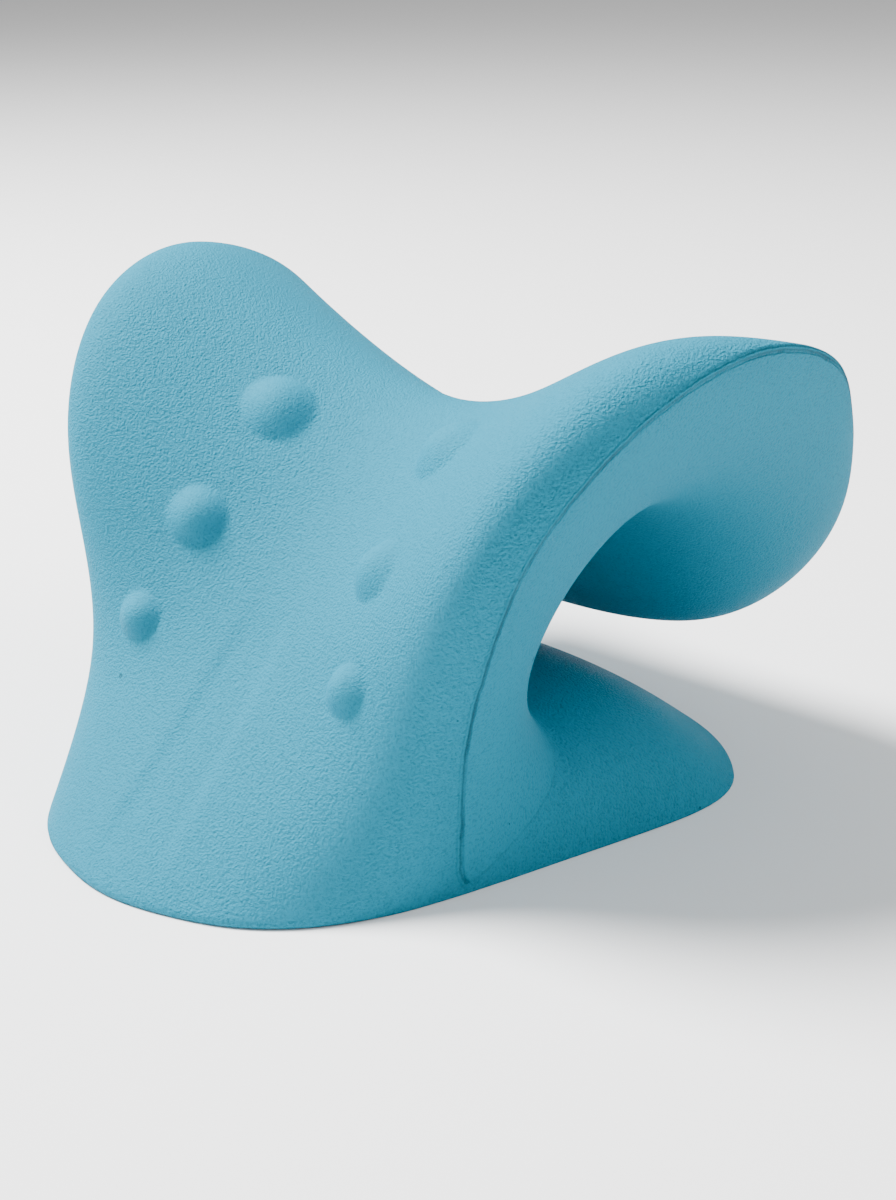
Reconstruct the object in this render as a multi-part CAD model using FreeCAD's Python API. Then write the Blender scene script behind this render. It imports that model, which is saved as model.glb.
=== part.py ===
import FreeCAD, Part
import math
import os

# Moulded foam neck-traction pillow. One solid casting of flexible polyurethane foam.
# Frame: millimetres, +Z up, X across the width (the object is symmetric about X = 0),
# -Y towards the toe and the massage nodes, +Y towards the open mouth of the C.
# Origin: on the support surface, on the symmetry plane, under the middle of the depth.

# ---------------------------------------------------------------- driving dimensions
OVERALL_WIDTH = 220.0       # across the two shoulder wings
OVERALL_DEPTH = 223.0       # front of the toe to the rounded end of the upper arm
OVERALL_HEIGHT = 143.0      # support surface to the crest of the wings

NODE_RISE = 5.0             # how far a massage node stands out of the skin
SAMPLES = 100               # steps along each skin when its drawn size is measured
NODE_ROWS = (
    # half spacing, depth position, height, diameter (upper pair, middle pair, lower pair)
    (31.0, -5.0, 109.0, 21.0),
    (36.5, -31.0, 80.0, 19.0),
    (42.0, -48.0, 52.0, 15.0),
)

# The skins below are drawn near the real size and then brought to the overall sizes.
# Outer skin: three guide lines run from the toe, up the front, over the saddle and down
# the back of the arm: the middle of the valley, the parting edge and the wing's shoulder.
TOE_FRONT = -105.0              # front of the toe on the support surface
FRONT_SLOPE = 42.0              # degrees the front rises from the toe to the saddle
FRONT_HEIGHTS = (0.0, 40.0, 80.0, 100.0)
SADDLE_TOP = (30.0, 110.0)      # depth and height of the top of the saddle
BACK_SLOPE = 27.0               # degrees the back of the arm falls
BACK_DEPTHS = (55.0, 110.0)
ARM_END = (120.0, 50.0)         # depth and height of the middle of the arm's end

SIDE_HALF_WIDTH = 70.0          # the parting edge stands upright below the waist
SIDE_DEPTH = -40.0
WAIST_HEIGHT = 45.0
EDGE_CENTRE = (30.0, 75.0)      # above the waist it is an arc, seen from the side
EDGE_RADIUS = 72.0
EDGE_ANGLES = (160.0, 128.0, 92.0, 56.0, 20.0, 8.0)
WIDEST_HALF_WIDTH = 112.0       # the arc's half width, at its widest angle
WIDEST_ANGLE = 80.0
ARC_NARROWING = 24.0            # how much narrower the arc is 80 degrees away from there

SHOULDER_LINE = (
    (45, -90, 0), (55, -55, 40),                        # toe, waist
    (75, -50, 105), (85, -25, 140),                     # front and top of the wing
    (85, 20, 150), (80, 60, 125),                       # crest and back of the wing
    (75, 110, 80), (70, 120, 65),                       # top and face of the arm's end
)
STRAIGHT_AFTER = (0, 1, 5)      # stations followed by a run that gets a section halfway

# Between the guide lines a section follows one law, given as shares of the way.
NEAR_EDGE_SHARE = (0.30, 0.55, 0.50)    # from the parting edge to the shoulder, in x, y, z
VALLEY_SHARE = (0.53, 0.40, 0.36)       # from the middle to the shoulder, in x, y, z
EDGE_ROLL = 3.0                         # how far the rolled edge stands over that share
ROLLED_FROM_HEIGHT = 60.0               # the roll starts above the waist

# Inner skin: side wall and hollow of the C, from the floor corner round to the arm end.
# The parting edge and the arm end are shared with the outer skin.
HOLLOW_SKIN = (
    [(76, -16, 14), (71, 6, 24), (39, 16, 34), (0, 18, 37)],
    [(74, -21, 28), (66, 1, 37), (36, 8, 42), (0, 9, 45)],
    [(73, -20, 44), (64, -2, 50), (34, 4, 53), (0, 5, 54)],
    [(77, -18, 64), (67, 0, 64), (34, 8, 66), (0, 10, 67)],
    [(84, -6, 88), (71, 10, 80), (37, 20, 81), (0, 21, 81)],
    [(96, 12, 109), (76, 27, 92), (38, 37, 90), (0, 38, 88)],
    [(103, 44, 107), (78, 51, 87), (40, 56, 77), (0, 58, 72)],
    [(100, 75, 92), (74, 72, 55), (40, 70, 43), (0, 71, 40)],
    [(98, 97, 80), (75, 94, 38), (41, 92, 26), (0, 92, 25)],
    [(94, 109, 76), (74, 118, 46), (38, 119, 36), (0, 119, 32)],
)

# Base skin: the rear foot, from its rounded back end forward to the floor corner.
BASE_SKIN = (
    [(80, 72, 0), (67, 89, 0), (38, 101, 0), (19, 104, 0), (0, 104, 0)],
    [(90, 60, 0), (86, 64, 8), (68, 70, 16), (34, 76, 20), (0, 77, 21)],
    [(88, 33, 0), (85, 36, 11), (73, 42, 24), (38, 49, 34), (0, 50, 36)],
    [(78, -3, 0), (79, 7, 13), (72, 22, 25), (37, 27, 35), (0, 28, 38)],
)


def part_way(start, end, shares):
    """Point that has gone the given share of the way in x, y and z."""
    return tuple(a + share * (b - a) for a, b, share in zip(start, end, shares))


def outer_section(edge, shoulder, middle):
    """Half section of the outer skin: five control points from edge to symmetry plane."""
    x, y, z = part_way(edge, shoulder, NEAR_EDGE_SHARE)
    if edge[2] > ROLLED_FROM_HEIGHT:
        z += EDGE_ROLL
    return [edge, (x, y, z), shoulder, part_way(middle, shoulder, VALLEY_SHARE), middle]


def middle_line():
    """Symmetry-plane points: a straight front, the saddle, a straight back, the arm's end."""
    rise = math.tan(math.radians(FRONT_SLOPE))
    fall = math.tan(math.radians(BACK_SLOPE))
    points = [(0.0, TOE_FRONT + height / rise, height) for height in FRONT_HEIGHTS]
    points.append((0.0,) + SADDLE_TOP)
    for depth in BACK_DEPTHS:
        points.append((0.0, depth, SADDLE_TOP[1] - (depth - SADDLE_TOP[0]) * fall))
    points.append((0.0,) + ARM_END)
    return points


def edge_line():
    """Parting edge: upright to the waist, then an arc that swells to the widest angle."""
    points = [(SIDE_HALF_WIDTH, SIDE_DEPTH, 0.0), (SIDE_HALF_WIDTH, SIDE_DEPTH, WAIST_HEIGHT)]
    for angle in EDGE_ANGLES:
        away = (angle - WIDEST_ANGLE) / WIDEST_ANGLE
        turn = math.radians(angle)
        points.append((
            WIDEST_HALF_WIDTH - ARC_NARROWING * away ** 2,
            EDGE_CENTRE[0] + EDGE_RADIUS * math.cos(turn),
            EDGE_CENTRE[1] + EDGE_RADIUS * math.sin(turn),
        ))
    return points


def outer_rows():
    """All half sections of the outer skin, with one halfway along each straight run."""
    rows = []
    stations = list(zip(edge_line(), SHOULDER_LINE, middle_line()))
    for number, station in enumerate(stations):
        rows.append(outer_section(*station))
        if number in STRAIGHT_AFTER:
            following = stations[number + 1]
            halfway = [part_way(a, b, (0.5, 0.5, 0.5)) for a, b in zip(station, following)]
            rows.append(outer_section(*halfway))
    return rows


def mirrored_row(half_row, scale):
    """Full row of control points, right edge to left edge, from one half section."""
    right = [FreeCAD.Vector(*(c * factor for c, factor in zip(p, scale))) for p in half_row]
    left = [FreeCAD.Vector(-p.x, p.y, p.z) for p in reversed(right[:-1])]
    return right + left


def even_knots(count, degree=3):
    """Evenly spaced clamped knots and their multiplicities for a pole count."""
    spans = count - degree
    knots = [i / spans for i in range(spans + 1)]
    mults = [degree + 1] + [1] * (spans - 1) + [degree + 1]
    return knots, mults


def skin_surface(half_rows, scale):
    """Cubic spline surface through a family of mirrored sections."""
    poles = [mirrored_row(row, scale) for row in half_rows]
    u_knots, u_mults = even_knots(len(poles))
    v_knots, v_mults = even_knots(len(poles[0]))
    surface = Part.BSplineSurface()
    surface.buildFromPolesMultsKnots(
        poles, u_mults, v_mults, u_knots, v_knots, False, False, 3, 3)
    return surface


def body_surfaces(scale):
    """The outer, hollow and base skins, meeting along shared control rows."""
    outer = outer_rows()
    hollow = []
    for outer_row, inner_row in zip(outer[:-1], HOLLOW_SKIN):
        hollow.append([outer_row[0]] + inner_row)
    base = list(BASE_SKIN) + [hollow[0]]
    hollow.append(outer[-1])
    return [skin_surface(rows, scale) for rows in (outer, hollow, base)]


def scale_to_overall():
    """Factors in x, y and z that bring the drawn skins to the overall sizes."""
    steps = [i / SAMPLES for i in range(SAMPLES + 1)]
    points = []
    for skin in body_surfaces((1.0, 1.0, 1.0)):
        points += [skin.value(u, v) for u in steps for v in steps]
    width = max(p.x for p in points) * 2.0
    depth = max(p.y for p in points) - min(p.y for p in points)
    height = max(p.z for p in points)
    return OVERALL_WIDTH / width, OVERALL_DEPTH / depth, OVERALL_HEIGHT / height


def flat_bottom(outer, base):
    """Plane face on the support surface inside the toe, side and back outlines."""
    outline = [
        outer.uIso(0.0).toShape(),
        base.vIso(0.0).toShape(),
        base.uIso(0.0).toShape(),
        base.vIso(1.0).toShape(),
    ]
    wire = Part.Wire(Part.__sortEdges__(outline))
    return Part.Face(wire)


def foam_casting():
    """Closed solid of the plain body without the massage nodes."""
    outer, hollow, base = body_surfaces(scale_to_overall())
    faces = [outer.toShape(), hollow.toShape(), base.toShape(), flat_bottom(outer, base)]
    skin = Part.makeCompound(faces)
    skin.sewShape(1e-3)
    shell = skin.Shells[0]
    solid = Part.Solid(shell)
    if solid.Volume < 0:
        solid.reverse()
    return solid, outer


def node_dome(outer, half_spacing, depth, height, diameter, side):
    """Shallow ellipsoid standing NODE_RISE out of the outer skin."""
    target = FreeCAD.Vector(side * half_spacing, depth, height)
    u, v = outer.parameter(target)
    foot = outer.value(u, v)
    normal = outer.normal(u, v)
    if normal.y > 0:
        normal = normal * -1.0
    radius = diameter / 2.0
    dome = Part.makeSphere(radius)
    flatten = FreeCAD.Matrix()
    flatten.scale(1.0, 1.0, NODE_RISE / radius)
    dome = dome.transformGeometry(flatten)
    turn = FreeCAD.Rotation(FreeCAD.Vector(0, 0, 1), normal)
    dome.Placement = FreeCAD.Placement(foot, turn)
    return dome


def foam_body():
    """The casting with its six massage nodes moulded on."""
    body, outer = foam_casting()
    for half_spacing, depth, height, diameter in NODE_ROWS:
        for side in (1, -1):
            body = body.fuse(node_dome(outer, half_spacing, depth, height, diameter, side))
    if body.ShapeType == "Compound":
        body = body.Solids[0]
    return body


def main():
    os.makedirs("parts", exist_ok=True)
    body = foam_body()
    box = body.optimalBoundingBox()
    print("foam_body", body.ShapeType, "valid", body.isValid(), "solids", len(body.Solids))
    print("size", round(box.XLength, 2), round(box.YLength, 2), round(box.ZLength, 2))
    print("depth range", round(box.YMin, 2), round(box.YMax, 2), "floor", round(box.ZMin, 2))
    print("volume cm3", round(body.Volume / 1000.0, 1), "faces", len(body.Faces))
    body.exportStep("parts/foam_body.step")


main()
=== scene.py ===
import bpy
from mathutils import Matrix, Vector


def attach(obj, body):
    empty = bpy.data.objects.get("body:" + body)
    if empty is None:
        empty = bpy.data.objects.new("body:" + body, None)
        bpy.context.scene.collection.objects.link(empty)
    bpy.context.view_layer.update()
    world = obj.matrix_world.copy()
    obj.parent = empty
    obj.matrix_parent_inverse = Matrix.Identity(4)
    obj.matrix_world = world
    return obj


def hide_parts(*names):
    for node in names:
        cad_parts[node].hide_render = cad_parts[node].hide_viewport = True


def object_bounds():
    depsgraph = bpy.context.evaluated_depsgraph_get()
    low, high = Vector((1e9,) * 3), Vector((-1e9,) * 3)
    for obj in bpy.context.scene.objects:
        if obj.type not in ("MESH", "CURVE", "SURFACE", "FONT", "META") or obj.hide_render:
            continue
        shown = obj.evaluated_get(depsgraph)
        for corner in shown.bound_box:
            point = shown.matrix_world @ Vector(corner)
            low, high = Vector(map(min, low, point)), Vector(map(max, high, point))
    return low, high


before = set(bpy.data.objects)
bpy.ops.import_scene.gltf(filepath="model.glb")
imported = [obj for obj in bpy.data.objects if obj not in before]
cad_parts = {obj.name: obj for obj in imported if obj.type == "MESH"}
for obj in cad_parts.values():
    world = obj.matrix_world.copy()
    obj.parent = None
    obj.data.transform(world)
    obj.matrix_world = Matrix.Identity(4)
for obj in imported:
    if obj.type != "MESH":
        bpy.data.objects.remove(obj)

import math

import bpy
import numpy as np
from mathutils import Matrix, Vector

frame_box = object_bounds()
MM = 0.001

# ------------------------------------------------------------------ body sections, in mm
# Outer skin: three guide lines run from the toe, up the front, over the saddle and down
# the back of the arm: the middle of the valley, the parting edge and the wing's shoulder.
TOE_FRONT = -105.0              # front of the toe on the support surface
FRONT_SLOPE = 42.0              # degrees the front rises from the toe to the saddle
FRONT_HEIGHTS = (0.0, 40.0, 80.0, 100.0)
SADDLE_TOP = (30.0, 110.0)      # depth and height of the top of the saddle
BACK_SLOPE = 27.0               # degrees the back of the arm falls
BACK_DEPTHS = (55.0, 110.0)
ARM_END = (120.0, 50.0)         # depth and height of the middle of the arm's end

SIDE_HALF_WIDTH = 70.0          # the parting edge stands upright below the waist
SIDE_DEPTH = -40.0
WAIST_HEIGHT = 45.0
EDGE_CENTRE = (30.0, 75.0)      # above the waist it is an arc, seen from the side
EDGE_RADIUS = 72.0
EDGE_ANGLES = (160.0, 128.0, 92.0, 56.0, 20.0, 8.0)
WIDEST_HALF_WIDTH = 112.0       # the arc's half width, at its widest angle
WIDEST_ANGLE = 80.0
ARC_NARROWING = 24.0            # how much narrower the arc is 80 degrees away from there

SHOULDER_LINE = (
    (45, -90, 0), (55, -55, 40),                        # toe, waist
    (75, -50, 105), (85, -25, 140),                     # front and top of the wing
    (85, 20, 150), (80, 60, 125),                       # crest and back of the wing
    (75, 110, 80), (70, 120, 65),                       # top and face of the arm's end
)
STRAIGHT_AFTER = (0, 1, 5)      # stations followed by a run that gets a section halfway

# Between the guide lines a section follows one law, given as shares of the way.
NEAR_EDGE_SHARE = (0.30, 0.55, 0.50)    # from the parting edge to the shoulder, in x, y, z
VALLEY_SHARE = (0.53, 0.40, 0.36)       # from the middle to the shoulder, in x, y, z
EDGE_ROLL = 3.0                         # how far the rolled edge stands over that share
ROLLED_FROM_HEIGHT = 60.0               # the roll starts above the waist

# Side wall and hollow of the C, from the floor corner round to the arm end.
HOLLOW_SKIN = (
    [(76, -16, 14), (71, 6, 24), (39, 16, 34), (0, 18, 37)],
    [(74, -21, 28), (66, 1, 37), (36, 8, 42), (0, 9, 45)],
    [(73, -20, 44), (64, -2, 50), (34, 4, 53), (0, 5, 54)],
    [(77, -18, 64), (67, 0, 64), (34, 8, 66), (0, 10, 67)],
    [(84, -6, 88), (71, 10, 80), (37, 20, 81), (0, 21, 81)],
    [(96, 12, 109), (76, 27, 92), (38, 37, 90), (0, 38, 88)],
    [(103, 44, 107), (78, 51, 87), (40, 56, 77), (0, 58, 72)],
    [(100, 75, 92), (74, 72, 55), (40, 70, 43), (0, 71, 40)],
    [(98, 97, 80), (75, 94, 38), (41, 92, 26), (0, 92, 25)],
    [(94, 109, 76), (74, 118, 46), (38, 119, 36), (0, 119, 32)],
)
# Rear foot, from its back end forward to the floor corner.
BASE_SKIN = (
    [(80, 72, 0), (67, 89, 0), (38, 101, 0), (19, 104, 0), (0, 104, 0)],
    [(90, 60, 0), (86, 64, 8), (68, 70, 16), (34, 76, 20), (0, 77, 21)],
    [(88, 33, 0), (85, 36, 11), (73, 42, 24), (38, 49, 34), (0, 50, 36)],
    [(78, -3, 0), (79, 7, 13), (72, 22, 25), (37, 27, 35), (0, 28, 38)],
)

# Massage nodes: half spacing, depth position, height, radius, rise (mm)
NODES = (
    (31.0, -5.0, 109.0, 11.5, 5.0),
    (36.5, -31.0, 79.0, 9.4, 4.8),
    (41.5, -47.0, 52.0, 7.4, 4.2),
)

# Spine channel: a shallow groove down the middle of the front that widens to the toe
CHANNEL_DEPTH = 0.8
CHANNEL_HALF_WIDTH = (16.0, 10.0)   # at the support surface and at the top of the channel
CHANNEL_TOP = 68.0
CHANNEL_WALL = 6.0                  # width of its sloping side
CHANNEL_FADE = 16.0                 # length over which either end runs out

# Grid fineness of the skins: around the C, across the width, along the rear foot
AROUND = 330
ACROSS = 281
FOOT_ROWS = 110

SEAM_RADIUS_STEPS = 2        # how far the edge rounding reaches, in grid steps
SEAM_ROUNDING = 4
CREASE_STEPS = 9             # blend between the hollow and the rear foot
CREASE_ROUNDING = 40
RELAX_SHARE = 0.6            # share of the way to the neighbours in one rounding step

FOAM_BLUE = (0.001, 0.200, 0.305)
GRAIN_SCALE = 1350.0         # texture scales are per metre
FINE_SCALE = 2600.0
CLOUD_SCALE = 14.0
HOLE_CELLS = 125.0
SEAM_WOBBLE_SCALE = 260.0
SEAM_BREAK_SCALE = 90.0
GRAIN_DEPTH = 0.00085        # metres
MIX_COLOUR_A, MIX_COLOUR_B, MIX_COLOUR_OUT = 6, 7, 2    # colour sockets of a Mix node
# Painted shade colour for the inside of the pinholes.
HOLE_SHADE_BLUE = (0.001, 0.040, 0.065)
# Painted shadow colour for the trench beside the parting edge.
TRENCH_SHADOW_BLUE = (0.001, 0.060, 0.100)
FLOOR_WHITE = (0.92, 0.92, 0.92)
FLOOR_HALF_SIDE = 6.0

# Lights and camera, in metres, watts and degrees
LIGHT_AIM = (0.0, 0.0, 0.06)
KEY_SIZE, RIM_SIZE = 0.9, 1.1
CAMERA_PLACE = (0.3743, -0.3834, 0.2519)
CAMERA_AZIMUTH, CAMERA_ELEVATION = 41.93, 20.2
CAMERA_LENS = 59.4
KEY_PLACE = (-0.85, -0.30, 1.45)
KEY_WATTS = 120.0
RIM_PLACE = (1.10, 0.75, 1.20)
RIM_WATTS = 16.0
SKY_STRENGTH = 0.50


# ------------------------------------------------------------------ spline skins
def spline_basis(count, params, degree=3):
    """Clamped even cubic B-spline basis, one row per parameter."""
    inner = np.linspace(0.0, 1.0, count - degree + 1)
    knots = np.concatenate([[0.0] * degree, inner, [1.0] * degree])
    t = np.clip(params, 0.0, 1.0 - 1e-9)
    basis = ((t[:, None] >= knots[None, :-1]) & (t[:, None] < knots[None, 1:])).astype(float)
    for d in range(1, degree + 1):
        n = len(knots) - d - 1
        left = knots[d:d + n] - knots[:n]
        right = knots[d + 1:d + 1 + n] - knots[1:1 + n]
        a = np.divide(t[:, None] - knots[:n], left, out=np.zeros((len(t), n)), where=left > 0)
        b = np.divide(knots[d + 1:d + 1 + n] - t[:, None], right,
                      out=np.zeros((len(t), n)), where=right > 0)
        basis = a * basis[:, :n] + b * basis[:, 1:n + 1]
    return basis


def part_way(start, end, shares):
    """Point that has gone the given share of the way in x, y and z."""
    return tuple(a + share * (b - a) for a, b, share in zip(start, end, shares))


def outer_section(edge, shoulder, middle):
    """Half section of the outer skin: five control points from edge to symmetry plane."""
    x, y, z = part_way(edge, shoulder, NEAR_EDGE_SHARE)
    if edge[2] > ROLLED_FROM_HEIGHT:
        z += EDGE_ROLL
    return [edge, (x, y, z), shoulder, part_way(middle, shoulder, VALLEY_SHARE), middle]


def middle_line():
    """Symmetry-plane points: a straight front, the saddle, a straight back, the arm's end."""
    rise = math.tan(math.radians(FRONT_SLOPE))
    fall = math.tan(math.radians(BACK_SLOPE))
    points = [(0.0, TOE_FRONT + height / rise, height) for height in FRONT_HEIGHTS]
    points.append((0.0,) + SADDLE_TOP)
    for depth in BACK_DEPTHS:
        points.append((0.0, depth, SADDLE_TOP[1] - (depth - SADDLE_TOP[0]) * fall))
    points.append((0.0,) + ARM_END)
    return points


def edge_line():
    """Parting edge: upright to the waist, then an arc that swells to the widest angle."""
    points = [(SIDE_HALF_WIDTH, SIDE_DEPTH, 0.0), (SIDE_HALF_WIDTH, SIDE_DEPTH, WAIST_HEIGHT)]
    for angle in EDGE_ANGLES:
        away = (angle - WIDEST_ANGLE) / WIDEST_ANGLE
        turn = math.radians(angle)
        points.append((
            WIDEST_HALF_WIDTH - ARC_NARROWING * away ** 2,
            EDGE_CENTRE[0] + EDGE_RADIUS * math.cos(turn),
            EDGE_CENTRE[1] + EDGE_RADIUS * math.sin(turn),
        ))
    return points


def outer_rows():
    """All half sections of the outer skin, with one halfway along each straight run."""
    rows = []
    stations = list(zip(edge_line(), SHOULDER_LINE, middle_line()))
    for number, station in enumerate(stations):
        rows.append(outer_section(*station))
        if number in STRAIGHT_AFTER:
            following = stations[number + 1]
            halfway = [part_way(a, b, (0.5, 0.5, 0.5)) for a, b in zip(station, following)]
            rows.append(outer_section(*halfway))
    return rows


def full_rows(half_rows):
    """Mirror the half sections to full ones, right edge first."""
    half = np.array(half_rows, float)
    mirrored = half[:, -2::-1] * np.array([-1.0, 1.0, 1.0])
    return np.concatenate([half, mirrored], axis=1)


def skin_grid(poles, rows, columns):
    """Points of a spline skin on an even grid."""
    bu = spline_basis(poles.shape[0], np.linspace(0.0, 1.0, rows))
    bv = spline_basis(poles.shape[1], np.linspace(0.0, 1.0, columns))
    return np.einsum("ui,ijk,vj->uvk", bu, poles, bv)


def body_grids():
    """Outer, hollow and foot grids, sharing their borders and filling the CAD body's box."""
    outer_half = outer_rows()
    outer = full_rows(outer_half)
    hollow_half = [[o[0]] + list(h) for o, h in zip(outer_half[:-1], HOLLOW_SKIN)]
    hollow = np.concatenate([full_rows(hollow_half), outer[-1:]], axis=0)
    foot = np.concatenate([full_rows(BASE_SKIN), hollow[:1]], axis=0)
    grids = [
        skin_grid(outer, AROUND, ACROSS),
        skin_grid(hollow, AROUND, ACROSS),
        skin_grid(foot, FOOT_ROWS, ACROSS),
    ]
    drawn = np.concatenate([grid.reshape(-1, 3) for grid in grids])
    low, high = np.array(frame_box[0]) / MM, np.array(frame_box[1]) / MM
    scale = (high - low) / (drawn.max(axis=0) - drawn.min(axis=0))
    return [grid * scale for grid in grids]


def underside_grid(toe_row, foot):
    """Flat underside spanned between the toe line, the foot's sides and its back end."""
    rows, cols = FOOT_ROWS, ACROSS
    s = np.linspace(0.0, 1.0, rows)[:, None, None]
    t = np.linspace(0.0, 1.0, cols)[None, :, None]
    back, toe = foot[0][None], toe_row[None]
    right, left = foot[:, :1], foot[:, -1:]
    ruled = (1 - s) * back + s * toe + (1 - t) * right + t * left
    corners = ((1 - s) * (1 - t) * foot[0, 0] + (1 - s) * t * foot[0, -1]
               + s * (1 - t) * toe_row[0] + s * t * toe_row[-1])
    return ruled - corners


def grid_quads(ids, flip=False):
    """Quads of a grid of vertex numbers."""
    a, b, c, d = ids[:-1, :-1], ids[1:, :-1], ids[1:, 1:], ids[:-1, 1:]
    order = (a, d, c, b) if flip else (a, b, c, d)
    return np.stack([q.ravel() for q in order], axis=1)


def welded_body():
    """Vertices, quads and the vertex numbers of each skin of the closed body."""
    outer, hollow, foot = body_grids()
    points = [outer.reshape(-1, 3)]
    total = outer.shape[0] * outer.shape[1]
    outer_ids = np.arange(total).reshape(outer.shape[:2])

    hollow_ids = np.full(hollow.shape[:2], -1)
    hollow_ids[:, 0] = outer_ids[:, 0]
    hollow_ids[:, -1] = outer_ids[:, -1]
    hollow_ids[-1] = outer_ids[-1]
    free = hollow_ids < 0
    hollow_ids[free] = total + np.arange(free.sum())
    points.append(hollow[free])
    total += free.sum()

    foot_ids = np.full(foot.shape[:2], -1)
    foot_ids[-1] = hollow_ids[0]
    free = foot_ids < 0
    foot_ids[free] = total + np.arange(free.sum())
    points.append(foot[free])
    total += free.sum()

    under = underside_grid(outer[0], foot)
    under_ids = np.full(under.shape[:2], -1)
    under_ids[-1] = outer_ids[0]
    under_ids[0] = foot_ids[0]
    under_ids[:, 0] = foot_ids[:, 0]
    under_ids[:, -1] = foot_ids[:, -1]
    free = under_ids < 0
    under_ids[free] = total + np.arange(free.sum())
    points.append(under[free])

    quads = np.concatenate([
        grid_quads(outer_ids),
        grid_quads(hollow_ids, flip=True),
        grid_quads(foot_ids, flip=True),
        grid_quads(under_ids),
    ])
    ids = {"outer": outer_ids, "hollow": hollow_ids, "foot": foot_ids, "under": under_ids}
    return np.concatenate(points), quads, ids


# ------------------------------------------------------------------ shaping the mesh
def mesh_edges(quads):
    """Unique edges of the quads."""
    pairs = np.concatenate([quads[:, [0, 1]], quads[:, [1, 2]], quads[:, [2, 3]], quads[:, [3, 0]]])
    pairs.sort(axis=1)
    return np.unique(pairs, axis=0)


def neighbour_mean(values, edges, valence):
    """Average of the neighbours of each vertex."""
    out = np.zeros_like(values)
    for k in range(values.shape[1]):
        col = values[:, k]
        out[:, k] += np.bincount(edges[:, 0], col[edges[:, 1]], len(values))
        out[:, k] += np.bincount(edges[:, 1], col[edges[:, 0]], len(values))
    return out / valence[:, None]


def spread(seed, edges, steps):
    """Mask that falls from 1 on the seed vertices to 0 after some grid steps."""
    mask = seed.astype(float)
    for _ in range(steps):
        grown = mask.copy()
        np.maximum.at(grown, edges[:, 0], mask[edges[:, 1]] - 1.0 / (steps + 1))
        np.maximum.at(grown, edges[:, 1], mask[edges[:, 0]] - 1.0 / (steps + 1))
        mask = grown
    return np.clip(mask, 0.0, 1.0)


def soften(points, edges, mask, rounds):
    """Relax the masked vertices towards their neighbours."""
    valence = np.bincount(edges.ravel(), minlength=len(points)).astype(float)
    weight = (mask * RELAX_SHARE)[:, None]
    for _ in range(rounds):
        points = points + weight * (neighbour_mean(points, edges, valence) - points)
    return points


def vertex_normals(points, quads):
    """Unit normals from the quads."""
    face = np.cross(points[quads[:, 2]] - points[quads[:, 0]], points[quads[:, 3]] - points[quads[:, 1]])
    normals = np.zeros_like(points)
    for corner in range(4):
        for k in range(3):
            normals[:, k] += np.bincount(quads[:, corner], face[:, k], len(points))
    return normals / np.maximum(np.linalg.norm(normals, axis=1, keepdims=True), 1e-12)


def edge_run(points, ids):
    """Length across each section from the nearer parting edge."""
    grid = points[ids]
    step = np.linalg.norm(np.diff(grid, axis=1), axis=2)
    run = np.concatenate([np.zeros((len(grid), 1)), np.cumsum(step, axis=1)], axis=1)
    return np.minimum(run, run[:, -1:] - run)


def raise_nodes(points, quads, ids):
    """Smooth massage domes on the outer skin; also returns where they are."""
    normals = vertex_normals(points, quads)
    outer = ids["outer"].ravel()
    dome = np.zeros(len(points))
    presence = np.zeros(len(points))
    for spacing, depth, height, radius, rise in NODES:
        for side in (1, -1):
            target = np.array([side * spacing, depth, height])
            centre = points[outer[np.linalg.norm(points[outer] - target, axis=1).argmin()]]
            r = np.linalg.norm(points[outer] - centre, axis=1) / radius
            shape = np.clip(1.0 - r * r, 0.0, 1.0)
            dome[outer] = np.maximum(dome[outer], rise * shape ** 1.15)
            presence[outer] = np.maximum(presence[outer], np.clip(shape * 2.0, 0, 1))
    return points + normals * dome[:, None], presence


def smooth_step(low, high, values):
    """0 below low, 1 above high, an S curve between."""
    t = np.clip((values - low) / (high - low), 0.0, 1.0)
    return t * t * (3.0 - 2.0 * t)


def press_channel(points, quads, ids):
    """Shallow spine channel down the middle of the front."""
    front = np.zeros(len(points))
    outer = ids["outer"].ravel()
    front[outer] = points[outer, 1] < 0.0
    height = points[:, 2]
    share = np.clip(height / CHANNEL_TOP, 0.0, 1.0)
    half_width = CHANNEL_HALF_WIDTH[0] + share * (CHANNEL_HALF_WIDTH[1] - CHANNEL_HALF_WIDTH[0])
    inside = 1.0 - smooth_step(0.0, CHANNEL_WALL, np.abs(points[:, 0]) - half_width + CHANNEL_WALL)
    ends = smooth_step(2.0, CHANNEL_FADE, height)
    ends *= 1.0 - smooth_step(CHANNEL_TOP - CHANNEL_FADE, CHANNEL_TOP, height)
    depth = CHANNEL_DEPTH * front * inside * ends
    return points - vertex_normals(points, quads) * depth[:, None]


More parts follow.
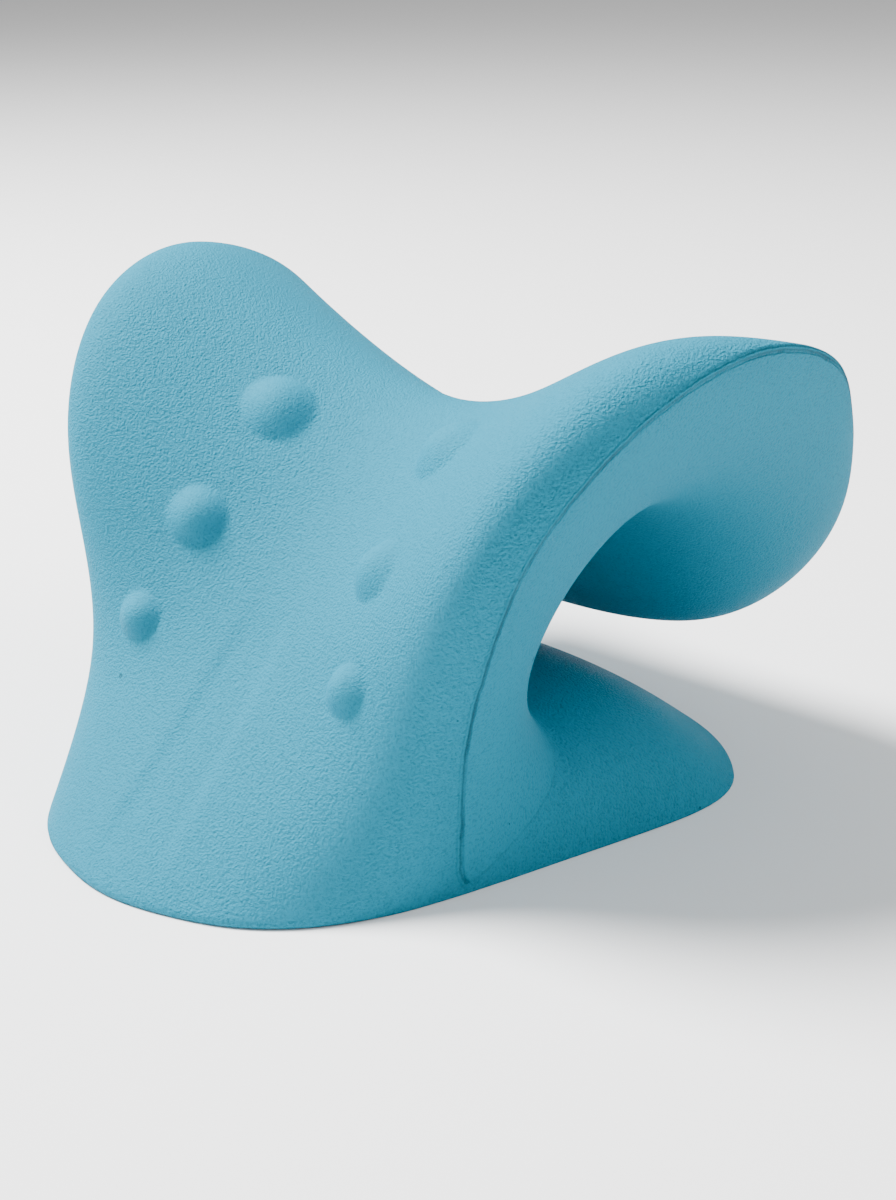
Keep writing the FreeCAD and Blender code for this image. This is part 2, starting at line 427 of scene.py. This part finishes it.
def foam_mesh():
    """The finished foam body as a mesh object with its shading attributes."""
    points, quads, ids = welded_body()
    edges = mesh_edges(quads)

    seam = np.zeros(len(points), bool)
    seam[ids["outer"][:, [0, -1]].ravel()] = True
    floor_line = np.zeros(len(points), bool)
    for line in (ids["outer"][0], ids["foot"][0], ids["foot"][:, 0], ids["foot"][:, -1]):
        floor_line[line] = True
    crease = np.zeros(len(points), bool)
    crease[ids["hollow"][0]] = True

    points = soften(points, edges, spread(crease, edges, CREASE_STEPS), CREASE_ROUNDING)
    sharp = spread(seam | floor_line, edges, SEAM_RADIUS_STEPS)
    points = soften(points, edges, sharp, SEAM_ROUNDING)
    points = press_channel(points, quads, ids)
    points, presence = raise_nodes(points, quads, ids)

    seam_mm = np.full(len(points), 50.0)
    for name, sign in (("hollow", -1.0), ("outer", 1.0)):
        seam_mm[ids[name].ravel()] = sign * edge_run(points, ids[name]).ravel()
    seam_mm[ids["outer"][:, [0, -1]].ravel()] = 0.0

    mesh = bpy.data.meshes.new("foam_skin")
    mesh.vertices.add(len(points))
    mesh.vertices.foreach_set("co", (points * MM).ravel())
    mesh.loops.add(quads.size)
    mesh.loops.foreach_set("vertex_index", quads.ravel())
    mesh.polygons.add(len(quads))
    mesh.polygons.foreach_set("loop_start", np.arange(0, quads.size, 4))
    mesh.polygons.foreach_set("use_smooth", np.ones(len(quads), bool))
    for name, values in (("seam_mm", seam_mm), ("node_skin", presence)):
        layer = mesh.attributes.new(name, "FLOAT", "POINT")
        layer.data.foreach_set("value", values.astype(np.float32))
    mesh.update(calc_edges=True)
    mesh.validate()
    body = bpy.data.objects.new("foam_body_skin", mesh)
    bpy.context.scene.collection.objects.link(body)
    return body


# ------------------------------------------------------------------ foam material
class Graph:
    """Small helper that adds and links shader nodes."""

    def __init__(self, name):
        self.material = bpy.data.materials.new(name)
        self.material.use_nodes = True
        self.tree = self.material.node_tree
        self.tree.nodes.clear()

    def node(self, kind, **inputs):
        """Add a node; an underscore in a keyword stands for a space in the socket's name."""
        made = self.tree.nodes.new(kind)
        for key, value in inputs.items():
            self.feed(made.inputs[key.replace("_", " ")], value)
        return made

    def feed(self, socket, value):
        """Link another node's output to the socket, or set a constant on it."""
        if isinstance(value, bpy.types.NodeSocket):
            self.tree.links.new(value, socket)
        else:
            socket.default_value = value

    def math(self, operation, a, b=0.0):
        """Result of one arithmetic step."""
        made = self.tree.nodes.new("ShaderNodeMath")
        made.operation = operation
        for socket, value in zip(made.inputs, (a, b)):
            self.feed(socket, value)
        return made.outputs[0]

    def ramp(self, value, low, high, out_low=0.0, out_high=1.0, smooth=True):
        """Map low..high to out_low..out_high."""
        made = self.tree.nodes.new("ShaderNodeMapRange")
        made.interpolation_type = "SMOOTHSTEP" if smooth else "LINEAR"
        for name, item in (("Value", value), ("From Min", low), ("From Max", high),
                           ("To Min", out_low), ("To Max", out_high)):
            self.feed(made.inputs[name], item)
        return made.outputs["Result"]

    def mix(self, factor, first, second):
        """Colour that goes from the first to the second with the factor."""
        made = self.tree.nodes.new("ShaderNodeMix")
        made.data_type = "RGBA"
        self.feed(made.inputs["Factor"], factor)
        self.feed(made.inputs[MIX_COLOUR_A], first)
        self.feed(made.inputs[MIX_COLOUR_B], second)
        return made.outputs[MIX_COLOUR_OUT]

    def attribute(self, name):
        """Value of a point attribute of the mesh."""
        made = self.tree.nodes.new("ShaderNodeAttribute")
        made.attribute_name = name
        return made.outputs["Fac"]

    def cell_number(self, cells):
        """One random number per Voronoi cell, from its random colour."""
        split = self.tree.nodes.new("ShaderNodeSeparateColor")
        self.tree.links.new(cells.outputs["Color"], split.inputs[0])
        return split.outputs[0]

    def noise(self, vector, scale, detail=2.0):
        """Noise with features of about one over scale, in metres."""
        made = self.node("ShaderNodeTexNoise", Vector=vector, Scale=scale, Detail=detail)
        return made.outputs["Fac"]

    def cells(self, vector, scale):
        """Voronoi cells, one random point in each."""
        return self.node("ShaderNodeTexVoronoi", Vector=vector, Scale=scale)


def foam_material():
    """Self-skinned foam: orange-peel grain, sparse pinholes, a flash ridge on the parting edge; painted shade
    darkens the pinholes, a painted highlight lies on the ridge and a painted shadow in the trench beside it.
    """
    g = Graph("foam_skin_blue")
    where = g.tree.nodes.new("ShaderNodeTexCoord").outputs["Object"]
    seam = g.attribute("seam_mm")
    node_skin = g.attribute("node_skin")

    grain = g.noise(where, GRAIN_SCALE, detail=2.0)
    fine = g.noise(where, FINE_SCALE, detail=1.0)
    clouds = g.noise(where, CLOUD_SCALE)

    near_seam = g.ramp(g.math("ABSOLUTE", seam), 1.0, 14.0, 1.0, 0.0)
    calm = g.math("SUBTRACT", 1.0, g.math("MULTIPLY", node_skin, 0.5))
    smooth_wall = g.ramp(seam, -1.5, -0.5, 0.6, 1.0)
    grain_amount = g.math("MULTIPLY", calm, smooth_wall)
    grain_amount = g.math("ADD", grain_amount, g.math("MULTIPLY", near_seam, 0.35))
    peel = g.math("MULTIPLY", grain, grain_amount)
    peel = g.math("ADD", peel, g.math("MULTIPLY", fine, 0.35))
    specks = g.ramp(g.math("MULTIPLY", grain, calm), 0.56, 0.68, 0.0, 1.0)

    cells = g.cells(where, HOLE_CELLS)
    hole_size = g.ramp(g.cell_number(cells), 0.80, 1.0, 0.0, 0.105, smooth=False)
    holes = g.math("LESS_THAN", cells.outputs["Distance"], hole_size)
    holes = g.math("MULTIPLY", holes, g.ramp(clouds, 0.40, 0.62, 0.25, 1.0))

    wobble = g.math("MULTIPLY", g.math("SUBTRACT", g.noise(where, SEAM_WOBBLE_SCALE, detail=3.0), 0.5), 1.1)
    seam_here = g.math("ADD", seam, wobble)
    ridge = g.ramp(g.math("ABSOLUTE", seam_here), 0.15, 0.9, 1.0, 0.0)
    trench = g.ramp(g.math("ABSOLUTE", g.math("ADD", seam_here, 1.0)), 0.2, 0.9, 1.0, 0.0)

    height = g.math("SUBTRACT", peel, g.math("MULTIPLY", holes, 1.6))
    height = g.math("ADD", height, g.math("MULTIPLY", ridge, 0.9))
    height = g.math("SUBTRACT", height, g.math("MULTIPLY", trench, 0.7))
    bump = g.node("ShaderNodeBump", Height=height, Strength=1.0, Distance=GRAIN_DEPTH)

    blue = FOAM_BLUE + (1.0,)
    darker = tuple(c * 0.70 for c in FOAM_BLUE) + (1.0,)
    lighter = tuple(c * 1.07 for c in FOAM_BLUE) + (1.0,)
    colour = g.mix(g.ramp(clouds, 0.3, 0.7), blue, lighter)
    colour = g.mix(g.math("MULTIPLY", g.math("SUBTRACT", 1.0, g.ramp(grain, 0.34, 0.5)), 0.5), colour, darker)
    colour = g.mix(g.math("MULTIPLY", specks, 0.15), colour, lighter)
    # Painted shade darkens the pinholes.
    colour = g.mix(g.math("MULTIPLY", holes, 0.75), colour, HOLE_SHADE_BLUE + (1.0,))
    # Painted shadow along the trench beside the parting edge, broken up by noise.
    broken = g.ramp(g.noise(where, SEAM_BREAK_SCALE), 0.35, 0.65, 0.25, 0.7)
    colour = g.mix(g.math("MULTIPLY", trench, broken), colour, TRENCH_SHADOW_BLUE + (1.0,))
    # Painted highlight along the flash ridge of the parting edge.
    colour = g.mix(g.math("MULTIPLY", ridge, 0.25), colour, lighter)

    shader = g.node("ShaderNodeBsdfPrincipled", Base_Color=colour, Roughness=0.72, Normal=bump.outputs[0])
    shader.inputs["Specular IOR Level"].default_value = 0.18
    out = g.tree.nodes.new("ShaderNodeOutputMaterial")
    g.tree.links.new(shader.outputs[0], out.inputs["Surface"])
    return g.material


# ------------------------------------------------------------------ studio
def floor_material():
    """Plain pale paint."""
    g = Graph("floor_paint")
    paint = g.node("ShaderNodeBsdfDiffuse", Color=FLOOR_WHITE + (1.0,))
    out = g.tree.nodes.new("ShaderNodeOutputMaterial")
    g.tree.links.new(paint.outputs[0], out.inputs["Surface"])
    return g.material


def make_floor():
    """Flat floor under the object."""
    mesh = bpy.data.meshes.new("studio_floor")
    half = FLOOR_HALF_SIDE
    corners = [(-half, -half, 0), (half, -half, 0), (half, half, 0), (-half, half, 0)]
    mesh.from_pydata(corners, [], [(0, 1, 2, 3)])
    floor = bpy.data.objects.new("studio_floor", mesh)
    bpy.context.scene.collection.objects.link(floor)
    floor.data.materials.append(floor_material())
    return floor


def area_light(name, place, size, watts):
    """Round soft light aimed at the middle of the object."""
    data = bpy.data.lights.new(name, "AREA")
    data.shape = "DISK"
    data.size = size
    data.energy = watts
    lamp = bpy.data.objects.new(name, data)
    lamp.location = place
    aim = Vector(LIGHT_AIM) - Vector(place)
    lamp.rotation_euler = aim.to_track_quat("-Z", "Y").to_euler()
    bpy.context.scene.collection.objects.link(lamp)


def make_light():
    """Key from the upper left, a weak rim from behind on the right, and a white sky."""
    area_light("key_upper_left", KEY_PLACE, KEY_SIZE, KEY_WATTS)
    area_light("rim_upper_right", RIM_PLACE, RIM_SIZE, RIM_WATTS)
    world = bpy.data.worlds.new("white_studio")
    world.use_nodes = True
    back = world.node_tree.nodes["Background"]
    back.inputs["Color"].default_value = (1.0, 1.0, 1.0, 1.0)
    back.inputs["Strength"].default_value = SKY_STRENGTH
    bpy.context.scene.world = world


def make_camera():
    """Seen from the front right, a little above."""
    azimuth, elevation = math.radians(CAMERA_AZIMUTH), math.radians(CAMERA_ELEVATION)
    back = Vector((math.sin(azimuth) * math.cos(elevation),
                   -math.cos(azimuth) * math.cos(elevation), math.sin(elevation)))
    right = Vector((math.cos(azimuth), math.sin(azimuth), 0.0))
    up = back.cross(right)
    data = bpy.data.cameras.new("view_camera")
    data.lens = CAMERA_LENS
    data.sensor_width = 36.0
    data.clip_start = 0.01
    camera = bpy.data.objects.new("view_camera", data)
    rotation = Matrix((right, up, back)).transposed().to_4x4()
    camera.matrix_world = Matrix.Translation(CAMERA_PLACE) @ rotation
    bpy.context.scene.collection.objects.link(camera)
    bpy.context.scene.camera = camera


def main():
    """Build the foam body, the floor, the light and the camera."""
    body = foam_mesh()
    body.data.materials.append(foam_material())
    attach(body, "root")
    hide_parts("foam_body")
    make_floor()
    make_light()
    make_camera()


main()
